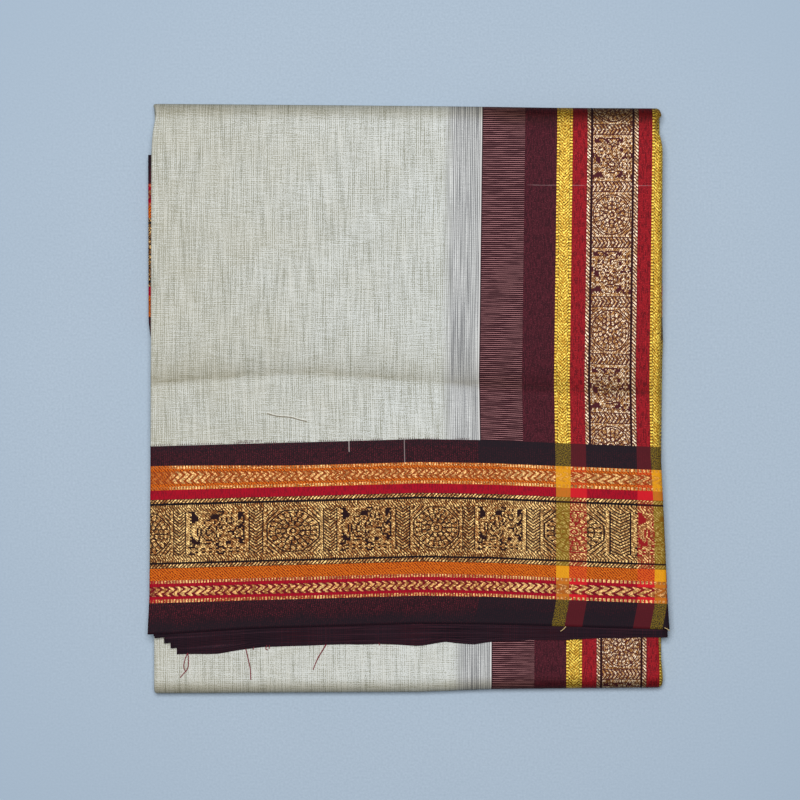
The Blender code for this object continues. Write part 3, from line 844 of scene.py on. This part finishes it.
def painted_shade_at(across, along):
    """How much painted shade the crease and the folds get: more above the crease than below it."""
    past = across - read(CREASE, "across", along)
    uneven = 1 + 0.2 * wander(along, 0, 95, 9) + 0.2 * wander(along, 0, 33, 5)
    crease = 0.54 * uneven * math.exp(-abs(past) / (10.0 if past > 0 else 1.6))
    start = BACK_START - 4 - 6 * ease(40, 80, along)
    back = ease(start, BACK_START + 5, across) * (1 - ease(FLOOR_START - 6, FLOOR_START, across))
    front = ease(FRONT_START, FRONT_START + 5, across)
    front *= 1 - ease(TURNED_START - 4, TURNED_START + 5, across)
    return min(crease + (0.45 + 0.4 * ease(40, 80, along)) * back + 0.6 * front, 1.0)


def sideways(across, along):
    """How far a place is moved in Y because its fold or border is not straight."""
    front = read(DRIFTS, "front", along)
    back = read(DRIFTS, "back", along)
    if across < BACK_START:
        border = read(DRIFTS, "border", along) * (1 - ease(BORDER, 340, across))
        selvedge = read(DRIFTS, "selvedge", along) * (1 - ease(0, 26, across))
        return border + selvedge + back * ease(250, BACK_START, across)
    if across < FLOOR_START:
        return back
    if across < FRONT_START:
        return back + (front - back) * (across - FLOOR_START) / FLOOR_RUN
    return front * (1 - ease(10, 90, across - TURNED_START))


def lie(across, along, depth):
    """The point at this place of the cloth, so deep under the outermost face of the stack."""
    squeeze = min(max(depth / STACK, 0.0), 1.0)
    if across < BACK_START:
        y = FLAP_FRONT + across
        top = TOP_HEIGHT - (TOP_HEIGHT - 2 * BACK_RADIUS) * ease(352, BACK_START, across)
        droop = 1.5 * (1 - ease(-6, 22, across))
        z = top + (top_relief(across, along) - droop) * (1 - squeeze) - depth
    elif across < FLOOR_START:
        turn = (across - BACK_START) / BACK_RADIUS
        y = BACK_TIP - BACK_RADIUS + (BACK_RADIUS - depth) * math.sin(turn)
        z = BACK_RADIUS + (BACK_RADIUS - depth) * math.cos(turn)
    elif across < FRONT_START:
        y = BACK_TIP - BACK_RADIUS - (across - FLOOR_START)
        z = depth
    elif across < TURNED_START:
        turn = (across - FRONT_START) / FRONT_RADIUS
        y = FRONT_TIP + FRONT_RADIUS - (FRONT_RADIUS - depth) * math.sin(turn)
        z = FRONT_RADIUS - (FRONT_RADIUS - depth) * math.cos(turn)
    else:
        y = FRONT_TIP + FRONT_RADIUS + (across - TURNED_START)
        ripple = 0.12 * wander(along, across, 55, 5) * ease(0, 14, across - TURNED_START)
        z = TURNED_TOP - depth + ripple * (1 - squeeze) * (across < TURNED_START + 60)
    return Vector((along * MM, (y + sideways(across, along)) * MM, z * MM))


# A column of a section: its distance in from a side edge, or its place along the cloth, how deep
# it lies, and how far its cloth has run past the edge's flat
Column = namedtuple("Column", "side inset depth run")


def column_x(column, across):
    if column.side == "fixed":
        return column.inset
    if column.side == "left":
        return read(EDGES, "left", across) + column.inset
    return read(EDGES, "right", across) - column.inset


def cloth_u(column, across, radius):
    """The place along the cloth, in millimetres: past a side's flat it runs on round the curl."""
    x = column_x(column, across)
    if column.run > 0:
        flat_end = column_x(Column(column.side, radius, 0, 0), across)
        x = flat_end - column.run if column.side == "left" else flat_end + column.run
    return x - read(SKEWS, "shift", across)


def curl(side, radius, centre, tail, steps):
    """The columns of one curled side, from the flat's end round to the end of its hidden tail."""
    columns = []
    for step in range(1, steps + 1):
        turn = math.pi * step / steps
        inset = radius * (1 - math.sin(turn))
        columns.append(Column(side, inset, centre - radius * math.cos(turn), radius * turn))
    for part in (0.4, 1.0):
        columns.append(Column(side, radius + tail * part, centre + radius,
                              radius * math.pi + tail * part))
    return columns


def straight(side, depth, *insets):
    """Columns at one depth, where the cloth lies flat."""
    return [Column(side, inset, depth, 0) for inset in insets]


def spaced(start, end, steps):
    return [start + (end - start) * step / steps for step in range(steps + 1)]


def stations_to(end, *starts):
    """Places across the cloth up to its end, in as many steps from each start as it gives."""
    stations = []
    stops = [start for start, steps in starts[1:]] + [end]
    for (start, steps), stop in zip(starts, stops):
        stations += spaced(start, stop, steps)[:-1]
    return stations + [end]


def cloth_piece(name, columns, stations, point):
    """A grid with a vertex for each column and station, laid in place and mapped on the cloth."""
    bm = bmesh.new()
    along_steps = len(columns) - 1
    across_steps = len(stations) - 1
    bmesh.ops.create_grid(bm, x_segments=along_steps, y_segments=across_steps, size=0.5)
    mapping = bm.loops.layers.uv.new("cloth")
    # Painted shade of the crease and the folds, stored at each vertex
    painted_shade = bm.verts.layers.float.new("painted_shade")
    woven = {}
    for vertex in bm.verts:
        column = columns[round((vertex.co.x + 0.5) * along_steps)]
        station = stations[round((vertex.co.y + 0.5) * across_steps)]
        vertex.co, place_u, place_v = point(column, station)
        woven[vertex] = (place_u, place_v)
        vertex[painted_shade] = painted_shade_at(station, place_u)
    for face in bm.faces:
        middle_u = sum(woven[vertex][0] for vertex in face.verts) / len(face.verts)
        middle_v = sum(woven[vertex][1] for vertex in face.verts) / len(face.verts)
        second = middle_v > SECOND_BORDER
        if second or middle_v < BORDER:
            face.material_index = CLOTHS.index(border_cloth)
        elif middle_u > PALLU_CLOTH_START:
            face.material_index = CLOTHS.index(pallu_cloth)
        for loop in face.loops:
            place_u, place_v = woven[loop.vert]
            loop[mapping].uv = (place_u * MM, (CLOTH_WIDTH - place_v if second else place_v) * MM)
    mesh = bpy.data.meshes.new(name)
    bm.to_mesh(mesh)
    bm.free()
    mesh.shade_smooth()
    for material in CLOTHS:
        mesh.materials.append(material)
    return new_object(name, mesh)


def thicken(piece, thickness):
    wall = piece.modifiers.new("Cloth", "SOLIDIFY")
    wall.thickness = thickness * MM
    wall.offset = -1
    wall.use_even_offset = True


def outer_point(column, station):
    """A point of the outermost sheet, with its U and V."""
    radius = LEFT_CURL if column.side == "left" else RIGHT_CURL
    place = lie(station, column_x(column, station), column.depth)
    place_u = cloth_u(column, station, radius)
    slack = SLACK * bell(station - 121, 9) * (1 - ease(-190, -70, place_u))
    crept = CREEP * ease(FLOOR_START, FRONT_START, station) * (1 - ease(
        TURNED_START + 66, SECOND_BORDER - 20, station))
    return place, place_u, station - slack + crept


left_side = curl("left", LEFT_CURL, LEFT_CURL, LEFT_TAIL, 8)[::-1]
left_side += straight("left", 0, LEFT_CURL, 3, 5.5, 9)
flat = straight("fixed", 0, *spaced(*FLAT, 96))
right_side = straight("right", 0, 10, 6.5, RIGHT_CURL)
right_side += curl("right", RIGHT_CURL, RIGHT_CURL, RIGHT_TAIL, 12)
outer_stations = stations_to(
    CLOTH_WIDTH, (0, 4), (8, 42), (BORDER, 12), (168, 24), (206, 40), (350, 10), (BACK_START, 14),
    (FLOOR_START, 16), (FRONT_START, 12), (TURNED_START, 20), (TURNED_START + 66, 10),
    (SECOND_BORDER, 24))
outer = cloth_piece("outer_sheet", left_side + flat + right_side, outer_stations, outer_point)
thicken(outer, SHEET_THICKNESS)
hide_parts("top_border", "top_body", "top_pallu", "back_fold", "floor_panel", "front_fold",
            "turned_body", "turned_border")
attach(outer, "root")

# The lower groups of layers at the left of each panel, of the same cloth. The fold before the last
# left them there as two thin rolls under the outermost sheet's own roll, each with 9 mm of cloth
# above it and 9 mm below.
ROLL_THICKNESS = 0.3
Roll = namedtuple("Roll", "name radius centre seed slip")
ROLLS = [
    Roll("left_roll_upper", 0.78, 4.2, 7, 0.9), Roll("left_roll_lower", 0.78, 5.85, 11, 1.3),
]


def roll_point(column, station):
    uneven = roll.slip + 0.5 * wander(station, 0, 170, roll.seed) + 0.25 * wander(station, 0, 47, 3)
    place = lie(station, column_x(column, station) + uneven, column.depth)
    return place, cloth_u(column, station, roll.radius) - 3 * roll.seed, station


roll_stations = stations_to(
    CLOTH_WIDTH - 2, (24, 26), (BORDER, 50), (BACK_START, 14), (FLOOR_START, 70),
    (FRONT_START, 12), (TURNED_START, 44), (SECOND_BORDER, 28))
for roll in ROLLS:
    outside = roll.centre - roll.radius
    columns = curl("left", roll.radius, roll.centre, 9, 6)[::-1]
    columns += straight("left", outside, *[roll.radius + inset for inset in (0, 4, 9)])
    piece = cloth_piece(roll.name, columns, roll_stations, roll_point)
    thicken(piece, ROLL_THICKNESS)
    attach(piece, "root")

# The layers inside the outermost sheet, pressed together: one soft slab that follows the letter
# fold, with the edges of its layers as grooves at the left.
SLAB_TOP = 0.5
SLAB_BOTTOM = 6.75
SLAB_LAYERS = 7


def slab_point(column, station):
    place = lie(station, column_x(column, station), column.depth)
    return place, cloth_u(column, station, 1.0), station


def slab_section():
    """A closed section: over the top, round the right, back along the bottom, up the grooves."""
    flat = spaced(*FLAT, 24)
    section = straight("left", SLAB_TOP, 3.2, 6, 10)
    section += straight("fixed", SLAB_TOP, *flat)
    section += straight("right", SLAB_TOP, 10, 6.5, RIGHT_CURL)
    radius = (SLAB_BOTTOM - SLAB_TOP) / 2 - 0.1
    middle = (SLAB_BOTTOM + SLAB_TOP) / 2
    for step in range(1, 8):
        turn = math.pi * step / 8
        inset = RIGHT_CURL + 0.3 - radius * math.sin(turn)
        section += straight("right", middle - radius * math.cos(turn), inset)
    section += straight("right", SLAB_BOTTOM, RIGHT_CURL, 6.5, 10)
    section += straight("fixed", SLAB_BOTTOM, *flat[::-1])
    section += straight("left", SLAB_BOTTOM, 10, 6, 3.6)
    step_down = (SLAB_BOTTOM - SLAB_TOP) / SLAB_LAYERS
    for layer in range(SLAB_LAYERS):
        low = SLAB_BOTTOM - layer * step_down
        out = 2.4 + 0.5 * (layer % 3)
        section += straight("left", low - step_down * 0.25, out)
        section += straight("left", low - step_down * 0.75, out)
        if layer < SLAB_LAYERS - 1:
            section += straight("left", low - step_down, out + 1.0)
    return section


slab_stations = [place for place in roll_stations if place < CLOTH_WIDTH - 3]
section = slab_section()
slab = cloth_piece("inner_layers", section + section[:1], slab_stations, slab_point)
bm = bmesh.new()
bm.from_mesh(slab.data)
bmesh.ops.remove_doubles(bm, verts=bm.verts, dist=0.001 * MM)
bmesh.ops.holes_fill(bm, edges=[edge for edge in bm.edges if edge.is_boundary], sides=0)
bmesh.ops.triangulate(bm, faces=[face for face in bm.faces if len(face.verts) > 4])
bmesh.ops.recalc_face_normals(bm, faces=bm.faces)
bm.to_mesh(slab.data)
bm.free()
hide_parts("hidden_layers")
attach(slab, "root")

# The selvedges of the inner layers, which step out under the front edge of the top panel, the
# lowest furthest. Each is a single thickness of border silk with its own woven edge.
Leaf = namedtuple("Leaf", "name layer left ends")
Step = namedtuple("Step", "along end")
LEAVES = [Leaf(name, layer, left, [Step(*row) for row in rows]) for name, layer, left, rows in (
    ("selvedge_leaf_1", 13, -188.0, (
        (-193, -176.4), (-174, -175.4), (-118, -171.8), (-14, -168.8), (106, -169.4),
        (192, -171.6))),
    ("selvedge_leaf_2", 9, -180.9, (
        (-181, -180.2), (-118, -176.2), (-70, -173.6), (26, -171.6), (106, -172.4),
        (192, -173.4))),
    ("selvedge_leaf_3", 5, -176.3, (
        (-177, -184.0), (-118, -179.8), (-60, -177.6), (24, -176.2), (90, -175.4),
        (192, -174.6))),
    ("selvedge_leaf_4", 1, -171.8, (
        (-172, -188.4), (-141, -188.0), (-124, -185.4), (-108, -182.9), (-70, -181.7),
        (-21.5, -180.8), (8, -182.2), (26.6, -179.1), (48, -181.2), (64.4, -179.1),
        (89.5, -177.8), (116, -177.8), (143.6, -176.5), (192, -176.0))),
)]
# The single layers between the leaves: each is stepped like the leaf of that number in the list
Filler = namedtuple("Filler", "layer left like inward")
FILLERS = [Filler(*row) for row in (
    (14, -188.6, 0, 1.6), (12, -187.4, 0, 0.9), (11, -180.6, 1, 2.0), (10, -180.2, 1, 1.0),
    (8, -180.4, 1, 0.8), (7, -175.9, 2, 2.4), (6, -175.5, 2, 1.1), (4, -175.7, 2, 0.9),
    (3, -171.4, 3, 3.0), (2, -171.0, 3, 1.3),
)]
# How far a leaf goes in under the top panel, its right end, and how far its own stretch of cloth
# lies from the outermost sheet's
LEAF_ROOT = 23.0
LEAF_RIGHT = 191.4
LEAF_CLOTH = 400.0
LEAF_PITCH = 0.4
LEAF_THICKNESS = 0.28


def leaf_piece(name, layer, left, ends, inward, seed):
    """One selvedge, from its own edge back to where it goes inside the stack."""

    def leaf_point(column, station):
        x = column.inset
        root = FLAP_FRONT + LEAF_ROOT + sideways(LEAF_ROOT, x)
        end = read(ends, "end", x) + inward + 0.35 * wander(x, 0, 37, seed)
        y = end + (root - end) * station
        inside = TURNED_TOP + GAP + 0.3 + layer * LEAF_PITCH
        rest = TURNED_TOP + 0.42 + layer * LEAF_PITCH * 0.82
        z = rest + (inside - rest) * ease(0, 0.8, station) + 0.05 * wander(x, y, 41, seed)
        place_v = station * (root - end)
        return Vector((x * MM, y * MM, z * MM)), x - LEAF_CLOTH, place_v * 1.4 + 7

    columns = straight("fixed", 0, *spaced(left, LEAF_RIGHT - 0.2 * layer, 84))
    piece = cloth_piece(name, columns, spaced(0, 1, 9), leaf_point)
    thicken(piece, LEAF_THICKNESS)
    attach(piece, "root")
    reach = [FLAP_FRONT + LEAF_ROOT - inward - read(ends, "end", column.inset)
             for column in columns]
    return piece


for seed, leaf in enumerate(LEAVES):
    piece = leaf_piece(leaf.name + "_cloth", leaf.layer, leaf.left, leaf.ends, 0, seed)
    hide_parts(leaf.name)
for filler in FILLERS:
    leaf_piece("selvedge_layer_%d" % filler.layer, filler.layer, filler.left,
               LEAVES[filler.like].ends, filler.inward, filler.layer + 5)

# Loose ends of the weft and of the zari, cut off after weaving: thin twisted threads that hang from
# the selvedges and lie on the cloth below.
Thread = namedtuple("Thread", "radius points")
CRIMSON_ENDS = [
    Thread(0.34, [(-163.8, -187.6, 0.5), (-165.8, -192.8, 0.5), (-166.5, -198.0, 0.7),
                  (-165.2, -201.5, 0.4)]),
    Thread(0.34, [(-163.6, -187.4, 0.6), (-163.1, -193.6, 1.0), (-164.0, -199.4, 0.8),
                  (-166.6, -202.6, 0.4), (-169.2, -205.6, 0.4)]),
    Thread(0.36, [(-120.8, -184.2, 0.5), (-118.6, -193.4, 0.9), (-117.4, -199.6, 0.5),
                  (-117.0, -207.2, 0.4)]),
    Thread(0.34, [(-61.2, -181.2, 0.5), (-65.2, -187.6, 0.9), (-68.2, -193.0, 0.6),
                  (-71.0, -199.8, 0.4)]),
    Thread(0.3, [(-61.8, -181.4, 0.7), (-64.4, -186.0, 1.3), (-67.6, -191.4, 0.9),
                 (-69.2, -195.6, 0.4)]),
    Thread(0.32, [(-114.6, -182.8, 0.5), (-115.4, -185.0, 0.5)]),
    Thread(0.32, [(-105.2, -181.8, 0.5), (-105.8, -184.6, 0.9), (-104.6, -185.2, 0.5)]),
    Thread(0.32, [(-103.4, -181.6, 0.5), (-103.0, -184.2, 0.5)]),
    Thread(0.32, [(-22.4, -179.6, 0.5), (-21.6, -181.8, 0.5)]),
]
GOLD_ENDS = [
    Thread(0.3, [(115.6, -167.4, 7.9), (113.2, -169.8, 7.7), (111.6, -170.9, 7.2)]),
    Thread(0.3, [(188.2, -168.2, 7.9), (190.6, -169.4, 7.5), (192.2, -170.6, 6.6)]),
]
THREAD_RADIUS = 0.34


def thread_piece(name, threads, material):
    """Thin round threads through their points, whose heights are over the turned panel."""
    curve = bpy.data.curves.new(name, "CURVE")
    curve.dimensions = "3D"
    curve.bevel_depth = THREAD_RADIUS * MM
    curve.bevel_resolution = 1
    curve.resolution_u = 6
    curve.use_fill_caps = True
    for thread in threads:
        spline = curve.splines.new("BEZIER")
        spline.bezier_points.add(len(thread.points) - 1)
        for point, (x, y, z) in zip(spline.bezier_points, thread.points):
            point.co = (x * MM, y * MM, (z + TURNED_TOP) * MM)
            point.handle_left_type = point.handle_right_type = "AUTO"
            point.radius = thread.radius / THREAD_RADIUS
    curve.materials.append(material)
    piece = new_object(name, curve)
    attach(piece, "root")


for name, threads, colours, metallic in (
        ("crimson_thread_ends", CRIMSON_ENDS, ("#64101E", "#943040"), 0.0),
        ("zari_thread_ends", GOLD_ENDS, ("#B08A48", "#FFE8B0"), 0.5)):
    # Two plies twist round each other every 0.8 mm, which breaks the thread's light into flecks:
    # bumped, and painted into its colour as lighter flecks
    material, tree = start_material("Twisted weft thread, " + name.split("_")[0])
    place = add("ShaderNodeTexCoord").outputs["Object"]
    ply = add("ShaderNodeTexNoise", {"Vector": place, "Scale": 1300.0, "Detail": 1.0}).outputs[0]
    shade = dyed(colours[0], (ply, colours[1]))
    twist = add("ShaderNodeBump", {"Height": ply, "Strength": 0.6, "Distance": 0.1 * MM}).outputs[0]
    skin = add("ShaderNodeBsdfPrincipled", {"Base Color": shade, "Normal": twist, "Roughness": 0.55,
                                            "Metallic": metallic, "Specular IOR Level": 0.2})
    add("ShaderNodeOutputMaterial", {"Surface": skin.outputs[0]})
    thread_piece(name, threads, material)
